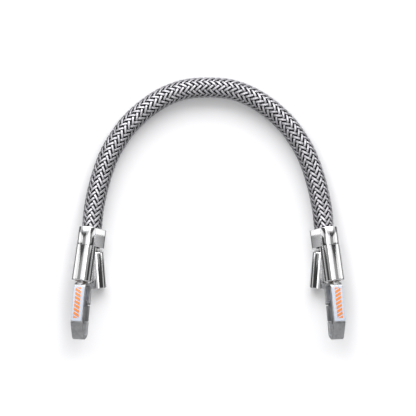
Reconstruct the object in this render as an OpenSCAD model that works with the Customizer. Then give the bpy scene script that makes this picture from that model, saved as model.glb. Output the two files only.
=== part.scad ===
// Braided dogbone power lead: a woven metal sleeve over a three-core cable, bent into an
// arch that lies flat, with a two-barrel metal end and a swivelling gated hook at each side.
// Millimetres. +X to the right, +Y towards the crown of the arch, +Z up. The lead stands on
// z = 0, and the origin is under the middle of its two metal ends.

/* [Sleeve and cable] */
// Outside diameter of the woven sleeve
sleeve_d = 21.5; // [20.5:0.1:22]
// Thickness of the woven wall
sleeve_wall = 2.6; // [1.5:0.1:2.6]
// Outside diameter of the cable jacket
jacket_d = 15.8; // [14.6:0.1:16]
// Wall of the cable jacket
jacket_wall = 2.2; // [1.2:0.1:2.2]
// Diameter of one insulated conductor
conductor_d = 4.4; // [3.6:0.1:4.4]
// Distance of each conductor from the middle of the cable
lay_r = 2.6; // [2.55:0.05:2.7]

/* [Collar] */
// Height of the collar above the seam
collar_h = 19.5; // [17:0.5:26]
// Radius of the collar on the main barrel's side
collar_r = 10.6; // [10.6:0.1:12]
// Radius of the two corners on the side barrel's side
collar_corner_r = 4.5; // [3.5:0.1:5]
// Long half width of the collar's oval hole
hole_long = 11.7; // [11.7:0.1:12]
// Short half width of the collar's oval hole
hole_short = 9.5; // [9.5:0.1:9.6]
// Depth that the Y body reaches into the collar
spigot_h = 6; // [5:0.5:7]
// Thickness of the cable grommet
grommet_h = 3; // [2:0.5:4]

/* [Y body] */
// Outside radius of the main barrel
main_r = 10.7; // [10.2:0.1:11.5]
// Length of the main barrel from the seam to its mouth
main_len = 37.5; // [34:0.5:42]
// Outside radius of the side barrel
side_r = 9.1; // [8.9:0.1:10]
// Length of the side barrel from the seam to its mouth
side_len = 42.5; // [41:0.5:48]
// Distance between the two barrels at the seam
barrel_gap = 12.1; // [11:0.1:13]
// Angle of the main barrel away from the collar's axis
main_splay = 1.3; // [0.5:0.1:4]
// Angle of the side barrel away from the collar's axis
side_splay = 16.4; // [14:0.1:19]
// Edge rounding of the barrels
barrel_round = 1.2; // [0.6:0.1:2]

/* [Connector] */
// Radius of the socket that the mating plug enters
socket_r = 7.5; // [7:0.1:7.7]
// Depth of that socket
socket_depth = 10; // [8:0.5:11]
// Radius of the moulded insert
insert_r = 6.5; // [6.2:0.1:6.7]
// Length of the moulded insert
insert_len = 16; // [16:0.5:20]
// Distance of each contact from the middle of the insert
contact_pitch = 3.6; // [3.4:0.1:3.8]
// Radius of a contact pin
pin_r = 1.6; // [1.2:0.1:1.7]
// Wall of a contact sleeve
contact_wall = 0.7; // [0.5:0.1:0.8]
// How far the pins stand out of their insert
pin_reach = 4.4; // [3:0.2:5]

/* [Swivel] */
// Radius of the bore in the main barrel
swivel_bore_r = 7; // [6.5:0.1:7.5]
// Depth of that bore
swivel_bore_depth = 24; // [20:0.5:25]
// Radius of the hook's shank
shank_r = 4; // [3.5:0.1:4.5]
// Length of the swivel bush
bush_len = 12; // [10:0.5:14]
// Radial running clearance of the shank in its bush
run_clear = 0.05; // [0.02:0.01:0.08]

/* [Hook] */
// Outside width of the hook's loop
loop_w = 18; // [17:0.5:20]
// Width of the flat band that the hook is bent from
band_w = 13; // [12:0.2:15]
// Thickness of the band
band_t = 2.8; // [2.2:0.1:3.2]
// Length of the loop below the barrel's mouth
loop_len = 61; // [56:0.5:70]
// Distance from the mouth to the gate's pin
gate_top = 20.5; // [18:0.5:22]
// Distance from the gate's pin to its free end
gate_len = 19.7; // [18:0.1:22]
// Length of the hook's end below the bend in the long leg
tip_len = 17.5; // [16:0.5:19]
// Angle of that bend
bend_angle = 28; // [20:1:32]
// Radius of the gate's pin
gate_pin_r = 1.2; // [1:0.1:1.4]
// How far the loop's middle sits from the shank, towards the gate
loop_off = 3.6; // [0:0.1:4]
// How far the loop's middle sits from the shank, across the band
loop_side = 0.5; // [0:0.1:1.6]
// Lean of the loop to its shank, across the band
loop_lean = 3; // [0:0.5:4]
// Thickness of the label plate
plate_t = 0.9; // [0.6:0.1:1.2]
// Length of the label plate
plate_len = 37; // [30:0.5:38]

/* [Layout] */
// Middle of the seam of the right-hand end, from the origin
seam_x = 122.9; // [118:0.1:130]
seam_y = 37; // [35:0.1:42]
seam_z = 19; // [18.9:0.1:24]
// Turn of the two barrels' plane about the collar's axis
roll = 48; // [48:1:48]
// Lean of the ends away from each other
lean = 6.5; // [6.5:0.1:6.5]
// Rise of the hooks above the ground
rise = 5; // [5:0.1:5]
// Turn of the hook about the main barrel at rest
hook_turn = 22; // [0:1:40]

/* [Hidden] */
$fn = 64;

fit = 0.05;                          // gap between pieces that push together
seat = 0.3;                          // gap under the soft sleeve and cable
past = 1;                            // how far a cutter runs past a face
side_slope = tan(side_splay);
main_x = barrel_gap / 2;             // main barrel's axis at the seam
side_x = -barrel_gap / 2;            // side barrel's axis at the seam
hole_x = 1.45;                       // middle of the collar's oval hole
corner_z = collar_r - collar_corner_r - 0.9;
corner_x = -hole_long + hole_x + 1.6;
grommet_top = spigot_h + fit + grommet_h;
cable_end = grommet_top + seat;      // where sleeve and jacket stop inside the collar
hook_gap = 1;                        // from the barrel's mouth to the hook
insert_end = side_len - socket_depth;
insert_top = insert_end - insert_len;
wire_end = insert_top - 0.5;         // where each conductor meets its contact

// ---- places -------------------------------------------------------------------------------

// The right-hand end's frame: +Y up the collar's axis, +X towards the main barrel.
module right_end()
    translate([seam_x, seam_y, seam_z])
        rotate([0, 0, lean]) rotate([-rise, 0, 0]) rotate([0, -roll, 0]) children();

// The left-hand end is the right-hand one in a mirror.
module left_end() mirror([1, 0, 0]) right_end() children();

// A frame whose +Z runs down the main barrel from the seam.
module down_main()
    translate([main_x, 0, 0]) rotate([0, 0, main_splay]) rotate([90, 0, 0]) children();

// A frame whose +Z runs down the side barrel from the seam.
module down_side()
    translate([side_x, 0, 0]) rotate([0, 0, -side_splay]) rotate([90, 0, 0]) children();

// A frame whose +Z runs up the collar from the seam.
module up_stem() rotate([-90, 0, 0]) children();

// The hook's frame: origin at the barrel's mouth, -Y along the hook, +X to the long leg.
module at_hook()
    translate([main_x, 0, 0]) rotate([0, 0, main_splay])
        translate([0, -main_len, 0]) rotate([0, -hook_turn, 0]) children();

// The loop's frame, off the shank.
module at_loop()
    at_hook() translate([-loop_off, 0, loop_side]) rotate([-loop_lean, 0, 0]) children();

// A contact's frame, for each of the three round the insert.
module each_contact()
    for (a = [90, 210, 330])
        down_side() rotate(-roll) translate([contact_pitch * cos(a), -contact_pitch * sin(a), 0])
            children();

// ---- shapes -------------------------------------------------------------------------------

// The outer tangent of two circles [x, y, r], on the right-hand side going from a to b.
function tangent(a, b) =
    let (d = [b[0] - a[0], b[1] - a[1]], u = d / norm(d), s = (a[2] - b[2]) / norm(d),
         n = s * u + sqrt(1 - s * s) * [u[1], -u[0]])
    [[a[0], a[1]] + a[2] * n, [b[0], b[1]] + b[2] * n];

// A solid that wraps a loop of circles, given anticlockwise.
module wrap(circles, h) {
    last = len(circles) - 1;
    linear_extrude(h)
        polygon([for (i = [0:last]) each tangent(circles[i], circles[i == last ? 0 : i + 1])]);
    for (c = circles) translate([c[0], c[1], 0]) cylinder(r = c[2], h = h);
}

// An oval of two equal circles about the collar's hole.
module oval(long, short, h)
    wrap([[hole_x - long + short, 0, short], [hole_x + long - short, 0, short]], h);

// A ring about the Z axis.
module ring(outer, inner, h)
    difference() {
        cylinder(r = outer, h = h);
        translate([0, 0, -past]) cylinder(r = inner, h = h + 2 * past);
    }

// A turned bar with both edges rounded, by end radii.
module turned(r, h, low, high)
    rotate_extrude()
        polygon(concat([[0, 0]], [for (a = [-90:15:0]) [r - low + low * cos(a), low + low * sin(a)]],
            [for (a = [0:15:90]) [r - high + high * cos(a), h - high + high * sin(a)]], [[0, h]]));

// Points of an open path with its corners rounded; each point is [x, y, radius].
function bend_points(p, i) =
    i == 0 || i == len(p) - 1 ? [[p[i][0], p[i][1]]] :
    let (c = [p[i][0], p[i][1]], a = [p[i-1][0], p[i-1][1]] - c, b = [p[i+1][0], p[i+1][1]] - c,
         ua = a / norm(a), ub = b / norm(b), half = acos(ua * ub) / 2, r = p[i][2],
         mid = c + (ua + ub) / norm(ua + ub) * r / sin(half),
         from = c + ua * r / tan(half) - mid, to = c + ub * r / tan(half) - mid,
         turn = 180 - 2 * half)
    [for (k = [0:6]) let (f = k / 6) mid +
        (from * sin((1 - f) * turn) + to * sin(f * turn)) / sin(turn)];
function path_points(p) = [for (i = [0:len(p) - 1]) each bend_points(p, i)];

// The side of a strip, off its middle line.
function strip_side(m, off) = [for (i = [0:len(m) - 1])
    let (d = m[min(i + 1, len(m) - 1)] - m[max(i - 1, 0)], u = d / norm(d))
    m[i] + off * [-u[1], u[0]]];
module strip(p, t, w) {
    m = path_points(p);
    back = strip_side(m, t / 2);
    linear_extrude(w, center = true)
        polygon(concat(strip_side(m, -t / 2), [for (i = [len(back) - 1:-1:0]) back[i]]));
}

// ---- the cable ----------------------------------------------------------------------------

// Half of the sleeve's route, from the crown to above the right-hand collar, chosen by hand.
half_route = [[0, 206, 10.8], [24, 204, 10.8], [46, 196, 10.9], [66, 183, 11], [83, 167, 11.3],
    [96, 149, 11.8], [105, 132, 12.5], [112, 112, 13.5], [117, 92, 14.8], [120, 75, 16.2]];

// A point of the right-hand end's frame, in the part's frame.
function turn_y(p, a) = [p[0] * cos(a) + p[2] * sin(a), p[1], p[2] * cos(a) - p[0] * sin(a)];
function turn_x(p, a) = [p[0], p[1] * cos(a) - p[2] * sin(a), p[1] * sin(a) + p[2] * cos(a)];
function turn_z(p, a) = [p[0] * cos(a) - p[1] * sin(a), p[0] * sin(a) + p[1] * cos(a), p[2]];
function end_turn(p) = turn_z(turn_x(turn_y(p, -roll), -rise), lean);
function end_point(p) = [seam_x, seam_y, seam_z] + end_turn(p);
function side_point(s, x = 0) =
    end_point([side_x + x - s * sin(side_splay), -s * cos(side_splay), 0]);

// Where the sleeve and jacket stop, and the way on of the conductors to their contacts.
collar_route = [end_point([hole_x, collar_h + 3, 0]), end_point([hole_x, cable_end, 0])];
wire_route = [end_point([hole_x, collar_h + 3, 0]), end_point([hole_x, cable_end, 0]),
    end_point([0.6, spigot_h, 0]), end_point([-2.2, 0, 0]), end_point([-6.2, -6, 0]),
    side_point(11), side_point(wire_end)];

function flip(p) = [-p[0], p[1], p[2]];
function both_sides(half) =
    concat([for (i = [len(half) - 1:-1:1]) flip(half[i])], half);

// A Catmull-Rom curve through the points, with steps pieces between each two.
function curve_point(p, i, f) =
    let (n = len(p) - 1, a = p[max(i - 1, 0)], b = p[i], c = p[min(i + 1, n)], d = p[min(i + 2, n)])
    b + f * ((c - a) + f * ((2 * a - 5 * b + 4 * c - d) + f * (3 * b - a - 3 * c + d))) / 2;
function smooth(p, steps) =
    concat([for (i = [0:len(p) - 2]) for (k = [0:steps - 1]) curve_point(p, i, k / steps)],
        [p[len(p) - 1]]);

// The sleeve is pressed to an oval where it enters a collar: 0 on the arch, 1 in the collar.
press_from = 30;
press_long = (hole_long - seat) / (sleeve_d / 2);
press_short = (hole_short - seat / 3) / (sleeve_d / 2);
function press(p) =
    let (top = end_point([hole_x, collar_h, 0]), q = p[0] < 0 ? flip(p) : p,
         f = 1 - min(1, max(0, (q[1] - top[1]) / press_from)))
    f * f * (3 - 2 * f);
function pressed(v, p) =
    let (w = press(p), e = p[0] < 0 ? flip(end_turn([1, 0, 0])) : end_turn([1, 0, 0]))
    (1 - w) * v + w * (press_short * v + (press_long - press_short) * (v * e) * e);

// One ring of a cable piece: off turns about the middle line, out is its distance from it.
function ring_at(m, i, r, n, out, at, squeeze) =
    let (d = m[min(i + 1, len(m) - 1)] - m[max(i - 1, 0)], t = d / norm(d),
         u = cross([0, 0, 1], t) / norm(cross([0, 0, 1], t)), v = cross(t, u),
         c = m[i] + out[i] * (cos(at) * u + sin(at) * v))
    [for (k = [0:n - 1]) let (a = 360 * k / n, o = r * (cos(a) * u + sin(a) * v))
        c + (squeeze ? pressed(o, m[i]) : o)];

// The outside of a solid swept tube. With a hole radius, its wall is closed at both ends.
module swept(m, r, n, hole = 0, out = [], at = 0, squeeze = false) {
    far = len(out) > 0 ? out : [for (i = m) 0];
    last = len(m) - 1;
    rings = [for (i = [0:last]) ring_at(m, i, r, n, far, at, squeeze)];
    holes = hole > 0 ? [for (i = [last:-1:0]) ring_at(m, i, hole, n, far, at, squeeze)] : [];
    loops = concat(rings, holes);
    count = len(loops);
    walls = [for (i = [0:count - (hole > 0 ? 1 : 2)]) for (k = [0:n - 1])
        let (a = i * n + k, b = i * n + (k + 1) % n, j = (i + 1) % count)
        [a, j * n + k, j * n + (k + 1) % n, b]];
    ends = hole > 0 ? [] : [[for (k = [0:n - 1]) k], [for (k = [n - 1:-1:0]) last * n + k]];
    polyhedron([for (l = loops) each l], concat(walls, ends), convexity = 8);
}

sleeve_line = smooth(both_sides(concat(half_route, collar_route)), 3);
wire_line = smooth(both_sides(concat(half_route, wire_route)), 2);
// The conductors spread from the cable's lay to the contacts at both ends of the line.
spread_rings = 6;
wire_out = [for (i = [0:len(wire_line) - 1])
    let (f = max(0, 1 - min(i, len(wire_line) - 1 - i) / spread_rings))
    lay_r + (contact_pitch - lay_r) * f * f * (3 - 2 * f)];

module braid_sleeve() color("silver")
    swept(sleeve_line, sleeve_d / 2, 12, hole = sleeve_d / 2 - sleeve_wall, squeeze = true);
module cable_jacket() color("dimgray")
    swept(sleeve_line, jacket_d / 2, 12, hole = jacket_d / 2 - jacket_wall, squeeze = true);
module conductor(tint, at) color(tint)
    swept(wire_line, conductor_d / 2, 8, out = wire_out, at = at);

// ---- the two-barrel end -------------------------------------------------------------------

module collar() color("gainsboro")
    difference() {
        up_stem() wrap([[main_x - 0.3, 0, collar_r], [corner_x, corner_z, collar_corner_r],
            [corner_x, -corner_z, collar_corner_r]], collar_h);
        up_stem() translate([0, 0, -past]) oval(hole_long, hole_short, collar_h + 2 * past);
        screw_holes(screw_r + fit);
    }

// Two small screws on the underside hold the collar on the Y body.
screw_r = 1.5;
screw_len = 4.4;
screw_head_z = 10.2;
module screw_holes(r)
    for (x = [-1, 6]) translate([x, spigot_h / 2, -screw_head_z - past])
        cylinder(r = r, h = screw_len + past + fit);
module collar_screws() color("dimgray")
    for (x = [-1, 6]) translate([x, spigot_h / 2, -screw_head_z])
        difference() {
            cylinder(r = screw_r, h = screw_len);
            translate([0, 0, -past]) cylinder(r = 0.8, h = 1.5 + past, $fn = 6);
        }

wire_way_r = 5.3;
side_top = 2.7;                          // where the side barrel's round top starts
module y_body() color("silver")
    difference() {
        union() {
            intersection() {
                down_main() translate([0, 0, -3])
                    turned(main_r, main_len + 3, barrel_round, barrel_round);
                translate([-50, -100, -50]) cube([100, 100, 100]);
            }
            down_side() translate([0, 0, side_top]) turned(side_r, side_len - side_top, 3, barrel_round);
            up_stem() translate([0, 0, -4]) oval(hole_long - fit, hole_short - fit, spigot_h + 4);
        }
        up_stem() translate([0, 0, -8])
            wrap([[-4, 0, wire_way_r], [4.5, 0, wire_way_r]], spigot_h + 8 + past);
        down_side() translate([0, 0, side_top + 0.9]) cylinder(r = insert_r - 0.2, h = side_len);
        down_side() translate([0, 0, insert_top]) cylinder(r = insert_r + fit, h = side_len);
        down_side() translate([0, 0, insert_end]) cylinder(r = socket_r, h = side_len);
        down_main() translate([0, 0, main_len - swivel_bore_depth])
            cylinder(r = swivel_bore_r, h = swivel_bore_depth + past);
        screw_holes(screw_r + fit);
        insert_hole();
    }

module cable_grommet() color("dimgray")
    up_stem() translate([0, 0, spigot_h + fit]) difference() {
        oval(hole_long - fit, hole_short - fit, grommet_h);
        translate([0.7, 0, -past]) wrap([[-0.8, 0, wire_way_r], [1.4, 0, wire_way_r]],
            grommet_h + 2 * past);
    }

// ---- the connector in the side barrel -----------------------------------------------------

insert_screw_r = 1.25;
insert_screw_at = 27;
insert_screw_depth = 4.2;
insert_screw_turn = -78;                 // between two contacts
module at_insert_screw()
    down_side() translate([0, 0, insert_screw_at]) rotate(insert_screw_turn) rotate([0, 90, 0])
        translate([0, 0, side_r - insert_screw_depth]) children();
module insert_hole()
    at_insert_screw() cylinder(r = insert_screw_r + fit, h = insert_screw_depth + past);
module insert_screw() color("dimgray")
    at_insert_screw() translate([0, 0, fit])
        cylinder(r = insert_screw_r, h = insert_screw_depth - 0.4);

module connector_insert(hole_r) color("#2b2b2d")
    difference() {
        down_side() translate([0, 0, insert_top + fit]) cylinder(r = insert_r, h = insert_len - fit);
        each_contact() translate([0, 0, insert_top - past]) cylinder(r = hole_r + fit, h = side_len);
        insert_hole();
    }
module contact_sleeves() color("goldenrod")
    each_contact() translate([0, 0, wire_end]) difference() {
        cylinder(r = pin_r + contact_wall, h = insert_len - 1);
        translate([0, 0, 4]) cylinder(r = pin_r + fit, h = insert_len);
    }
module contact_pins() color("goldenrod")
    each_contact() translate([0, 0, wire_end])
        turned(pin_r, insert_end + pin_reach - wire_end, 0.2, 0.9);

// ---- the swivel in the main barrel --------------------------------------------------------

bush_end = main_len - 0.5;
bush_top = bush_end - bush_len;
washer_t = 1.2;
ring_t = 1;
groove_r = shank_r - 0.8;
washer_top = bush_top - 0.1 - washer_t;
ring_top = washer_top - 0.1 - ring_t;
module swivel_bush() color("peru")
    down_main() translate([0, 0, bush_top])
        ring(swivel_bore_r - fit / 2, shank_r + run_clear, bush_len);
module thrust_washer() color("gainsboro")
    down_main() translate([0, 0, washer_top])
        ring(swivel_bore_r - 0.5, shank_r + run_clear, washer_t);
module retaining_ring() color("dimgray")
    down_main() translate([0, 0, ring_top]) difference() {
        ring(shank_r + 1.6, groove_r + fit, ring_t);
        translate([-1.4, 0, -past]) cube([2.8, shank_r + 3, ring_t + 2 * past]);
    }

// ---- the hook -----------------------------------------------------------------------------

leg_x = loop_w / 2 - band_t / 2;         // middle of both legs
bend_at = loop_len - tip_len;            // from the mouth to the bend in the long leg
tip_drop = tip_len - band_t / 2;
tip_x = leg_x - tip_drop * tan(bend_angle);
ear_w = 2.7;                             // width of each ear beside the gate
knuckle_w = band_w - 2 * ear_w - 0.2;
knuckle_r = 2.3;
nose_top = gate_top + gate_len + 0.4;
shank_top = main_len - ring_top + 1.5;   // from the mouth to the shank's end
module hook() color("silver")
    difference() {
        union() {
            at_loop() strip([[-leg_x, -gate_top - 0.2, 0], [-leg_x, -hook_gap - band_t / 2, 4],
                [leg_x, -hook_gap - band_t / 2, 4], [leg_x, -bend_at, 3],
                [tip_x, -bend_at - tip_drop, 3], [-leg_x, -bend_at - tip_drop + 4, 5],
                [-leg_x, -nose_top, 0]], band_t, band_w);
            at_loop() for (z = [-1, 1]) translate([-leg_x, -gate_top, z * (band_w - ear_w) / 2])
                cylinder(r = knuckle_r, h = ear_w, center = true);
            at_hook() rotate([-90, 0, 0]) translate([0, 0, -hook_gap - band_t - 1])
                cylinder(r = shank_r + 1, h = band_t + 1);
            at_hook() rotate([-90, 0, 0]) translate([0, 0, -hook_gap - band_t / 2])
                cylinder(r = shank_r, h = hook_gap + band_t / 2 + shank_top);
        }
        at_loop() translate([-leg_x, -gate_top - 1, 0])
            cube([band_t + 3, 2 * knuckle_r + 2.6, knuckle_w + 0.2], center = true);
        at_loop() translate([-leg_x, -gate_top, 0])
            cylinder(r = gate_pin_r + fit / 2, h = band_w + 2, center = true);
        down_main() translate([0, 0, ring_top - fit]) ring(shank_r + 1, groove_r, ring_t + 2 * fit);
    }

plate_top = 5.2;
plate_edge = 0.6;
plate_corner = 3;
module label_plate() color("whitesmoke")
    at_loop() translate([loop_w / 2, -plate_top - plate_len, band_w / 2 - plate_edge])
        rotate([0, 90, 0]) linear_extrude(plate_t)
            plate_outline(plate_len, band_w - 2 * plate_edge, plate_corner);
module plate_outline(l, w, r) {
    difference() {
        square([w, l]);
        for (x = [0, w]) translate([x, l]) square(2 * r, center = true);
    }
    for (x = [r, w - r]) translate([x, l - r]) circle(r = r);
    translate([r, l - r - 1]) square([w - 2 * r, r + 1]);
}

gate_t = 2.4;
stop_t = 1.1;                            // a tongue that stops the gate behind the nose
stop_w = 6;
stop_drop = 2.4;
stop_x = -leg_x + band_t / 2 + 0.1;
module gate() color("darkgray")
    difference() {
        at_loop() union() {
            translate([-leg_x, -gate_top, 0]) cylinder(r = knuckle_r - 0.1, h = knuckle_w, center = true);
            translate([-leg_x, -gate_top - 3, 0]) cube([gate_t, 5, knuckle_w], center = true);
            translate([-leg_x - gate_t / 2, -gate_top - gate_len, -band_w / 2 + 0.2])
                cube([gate_t, gate_len - 3.2, band_w - 0.4]);
            translate([stop_x - 0.5, -gate_top - gate_len, -stop_w / 2]) cube([stop_t + 0.5, 5, stop_w]);
            translate([stop_x, -gate_top - gate_len - stop_drop, -stop_w / 2])
                cube([stop_t, stop_drop + 1, stop_w]);
        }
        at_loop() translate([-leg_x, -gate_top, 0])
            cylinder(r = gate_pin_r + run_clear, h = band_w, center = true);
    }
module gate_pin() color("dimgray")
    at_loop() translate([-leg_x, -gate_top, 0])
        cylinder(r = gate_pin_r, h = band_w + 0.6, center = true);

// A leaf inside the short leg presses the gate shut.
module gate_spring() color("steelblue")
    at_loop() strip([[-leg_x + band_t / 2 + 0.25, -7, 0], [-leg_x + band_t / 2 + 0.25, -14, 8],
        [-leg_x + band_t / 2 + 2, -gate_top + 2, 5], [-leg_x + gate_t / 2 + 0.45, -gate_top - 4, 0]],
        0.5, knuckle_w - 1);

// ---- the assembly -------------------------------------------------------------------------

braid_sleeve();
cable_jacket();
conductor("firebrick", 90);  // conductor_line
conductor("ivory", 210);  // conductor_neutral
conductor("seagreen", 330);  // conductor_earth

left_end() collar();  // left_collar
left_end() y_body();  // left_y_body
left_end() cable_grommet();  // left_cable_grommet
left_end() collar_screws();  // left_collar_screws
left_end() swivel_bush();  // left_swivel_bush
left_end() thrust_washer();  // left_thrust_washer
left_end() retaining_ring();  // left_retaining_ring
left_end() hook();  // left_hook
left_end() label_plate();  // left_label_plate
left_end() gate();  // left_gate
left_end() gate_pin();  // left_gate_pin
left_end() gate_spring();  // left_gate_spring
left_end() connector_insert(pin_r + contact_wall);  // left_socket_insert
left_end() contact_sleeves();  // left_contact_sleeves
left_end() insert_screw();  // left_insert_screw

right_end() collar();  // right_collar
right_end() y_body();  // right_y_body
right_end() cable_grommet();  // right_cable_grommet
right_end() collar_screws();  // right_collar_screws
right_end() swivel_bush();  // right_swivel_bush
right_end() thrust_washer();  // right_thrust_washer
right_end() retaining_ring();  // right_retaining_ring
right_end() hook();  // right_hook
right_end() label_plate();  // right_label_plate
right_end() gate();  // right_gate
right_end() gate_pin();  // right_gate_pin
right_end() gate_spring();  // right_gate_spring
right_end() connector_insert(pin_r);  // right_pin_insert
right_end() contact_pins();  // right_contact_pins
right_end() insert_screw();  // right_insert_screw
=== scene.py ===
"""A short braided dogbone power lead, arched flat on a table: woven metal sleeve, polished
two-barrel ends, and a swivelling gated hook at each side. Metres, in the CAD's own frame."""
import math

import bmesh
import bpy
from mathutils import Matrix, Vector


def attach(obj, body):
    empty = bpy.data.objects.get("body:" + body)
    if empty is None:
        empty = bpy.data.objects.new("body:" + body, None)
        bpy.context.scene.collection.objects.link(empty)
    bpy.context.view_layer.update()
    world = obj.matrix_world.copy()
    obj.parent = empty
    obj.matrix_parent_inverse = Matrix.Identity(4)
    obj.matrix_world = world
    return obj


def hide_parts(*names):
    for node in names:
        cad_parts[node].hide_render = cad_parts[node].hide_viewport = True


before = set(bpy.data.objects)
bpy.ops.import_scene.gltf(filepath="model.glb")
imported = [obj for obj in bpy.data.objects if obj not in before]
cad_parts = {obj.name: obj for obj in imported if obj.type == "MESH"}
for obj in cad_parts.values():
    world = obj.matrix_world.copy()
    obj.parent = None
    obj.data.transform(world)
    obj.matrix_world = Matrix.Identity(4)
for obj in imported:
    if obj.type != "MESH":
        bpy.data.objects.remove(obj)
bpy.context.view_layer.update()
MM = 0.001


# ---- The camera, the lights and the table -------------------------------------------------
# The lead lies on a plain white table and is seen almost straight down through a long lens.
# Two long softboxes hang on either side of the lens, with a dark gap between them.
view_middle = Vector((0, 78.2 * MM, 15 * MM))
view_distance = 1.9
view_width = 416 * 1.05 * MM
view_elevation = math.radians(86.5)
lens_data = bpy.data.cameras.new("lens")
lens_data.sensor_width = 36
lens_data.lens = lens_data.sensor_width * view_distance / view_width
camera = bpy.data.objects.new("camera", lens_data)
camera.location = view_middle + view_distance * Vector(
    (0, -math.cos(view_elevation), math.sin(view_elevation)))
camera.rotation_euler = (math.pi / 2 - view_elevation, 0, 0)
bpy.context.scene.collection.objects.link(camera)
bpy.context.scene.camera = camera
bpy.context.scene.view_settings.view_transform = "Standard"


def softbox(name, place, aim, size, power):
    """An area light at place that faces aim."""
    light = bpy.data.lights.new(name, "AREA")
    light.shape = "RECTANGLE"
    light.size, light.size_y = size
    light.energy = power
    lamp = bpy.data.objects.new(name, light)
    lamp.location = place
    lamp.rotation_euler = (Vector(aim) - Vector(place)).to_track_quat("-Z", "Y").to_euler()
    bpy.context.scene.collection.objects.link(lamp)


softbox("middle_box", (0, 0.0, 0.36), (0, 0.0, 0), (0.10, 0.7), 0.4)
bpy.data.objects["middle_box"].visible_camera = False
for side, name in ((-1, "left"), (1, "right")):
    softbox(f"{name}_softbox", (side * 0.40, 0.1, 1.0), (side * 0.3, 0.1, 0), (0.4, 1.6), 0.6)
    softbox(f"{name}_low_box", (side * 1.5, 0.3, 0.2), (0, 0.1, 0), (0.3, 1.8), 1.6)

world = bpy.data.worlds.new("studio")
world.use_nodes = True
bpy.context.scene.world = world

table_mesh = bpy.data.meshes.new("table")
table_mesh.from_pydata([(-3, -3, 0), (3, -3, 0), (3, 3, 0), (-3, 3, 0)], [], [(0, 1, 2, 3)])
table = bpy.data.objects.new("table", table_mesh)
bpy.context.scene.collection.objects.link(table)
table.visible_glossy = False


# Node trees are written as sums: a Num stands for a socket, a Graph adds nodes to its tree.
class Num:
    """A number or vector in a node tree."""

    def __init__(self, graph, socket):
        self.graph, self.socket = graph, socket

    def math(self, operation, *others):
        node = self.graph.add("ShaderNodeMath", {"operation": operation},
                              {i: v for i, v in enumerate((self, *others))})
        return node["Value"]

    def __add__(self, other): return self.math("ADD", other)
    def __radd__(self, other): return self.math("ADD", other)
    def __sub__(self, other): return self.math("SUBTRACT", other)
    def __rsub__(self, other): return self.graph.number(other).math("SUBTRACT", self)
    def __mul__(self, other): return self.math("MULTIPLY", other)
    def __rmul__(self, other): return self.math("MULTIPLY", other)
    def __truediv__(self, other): return self.math("DIVIDE", other)
    def __rtruediv__(self, other): return self.graph.number(other).math("DIVIDE", self)
    def __neg__(self): return self.math("MULTIPLY", -1.0)
    def __mod__(self, other): return self.math("FLOORED_MODULO", other)
    def __lt__(self, other): return self.math("LESS_THAN", other)
    def __gt__(self, other): return self.math("GREATER_THAN", other)
    def floor(self): return self.math("FLOOR")
    def sin(self): return self.math("SINE")
    def cos(self): return self.math("COSINE")
    def clip(self, low, high): return self.math("MAXIMUM", low).math("MINIMUM", high)
    def ease(self): return self * self * (3 - 2 * self)


class Outputs:
    """The output sockets of a node, by name."""

    def __init__(self, graph, node):
        self.graph, self.node = graph, node

    def __getitem__(self, name): return Num(self.graph, self.node.outputs[name])


class Graph:
    """A node tree, shader or geometry."""

    def __init__(self, tree): self.tree = tree

    def add(self, kind, settings=None, sockets=None):
        node = self.tree.nodes.new(kind)
        for key, value in (settings or {}).items():
            if key == "stops":
                while len(node.color_ramp.elements) < len(value):
                    node.color_ramp.elements.new(0.5)
                for stop, (place, grey) in zip(node.color_ramp.elements, value):
                    stop.position, stop.color = place, (grey, grey, grey, 1)
            else:
                setattr(node, key, value)
        for key, value in (sockets or {}).items():
            if isinstance(value, Num):
                self.tree.links.new(value.socket, node.inputs[key])
            else:
                node.inputs[key].default_value = value
        return Outputs(self, node)

    def number(self, value):
        node = self.add("ShaderNodeValue")
        node.node.outputs[0].default_value = value
        return node["Value"]

    def vector(self, operation, *values):
        sockets = {i: v for i, v in enumerate(values)}
        if operation == "SCALE":
            sockets = {0: values[0], "Scale": values[1]}
        node = self.add("ShaderNodeVectorMath", {"operation": operation}, sockets)
        return node["Value" if operation == "DOT_PRODUCT" else "Vector"]

    def split(self, vector):
        node = self.add("ShaderNodeSeparateXYZ", None, {"Vector": vector})
        return node["X"], node["Y"], node["Z"]

    def join(self, x, y, z):
        return self.add("ShaderNodeCombineXYZ", None, {"X": x, "Y": y, "Z": z})["Vector"]

    def blend(self, factor, a, b):
        """A colour between a and b."""
        sockets = {"Factor": factor, 6: a, 7: b}
        node = self.add("ShaderNodeMix", {"data_type": "RGBA"}, sockets)
        return Num(self, node.node.outputs[2])

    def noise(self, coords, scale, detail=3.0, rough=0.5):
        sockets = {"Vector": coords, "Scale": scale, "Detail": detail, "Roughness": rough}
        return self.add("ShaderNodeTexNoise", None, sockets)["Fac"]

    def bump(self, height, distance, strength=1.0):
        sockets = {"Height": height, "Distance": distance, "Strength": strength}
        return self.add("ShaderNodeBump", None, sockets)["Normal"]


def new_finish(name, metallic=0.0, **fixed):
    """A material's graph, its Object coordinates and its Principled shader."""
    material = bpy.data.materials.new(name)
    material.use_nodes = True
    graph = Graph(material.node_tree)
    shader = material.node_tree.nodes["Principled BSDF"]
    shader.inputs["Metallic"].default_value = metallic
    for key, value in fixed.items():
        shader.inputs[key.replace("_", " ")].default_value = value
    return material, graph, graph.add("ShaderNodeTexCoord")["Object"], shader


def wire_up(graph, shader, **values):
    """Links what varies over the surface into the shader."""
    for key, value in values.items():
        graph.tree.links.new(value.socket, shader.inputs[key.replace("_", " ")])


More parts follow.
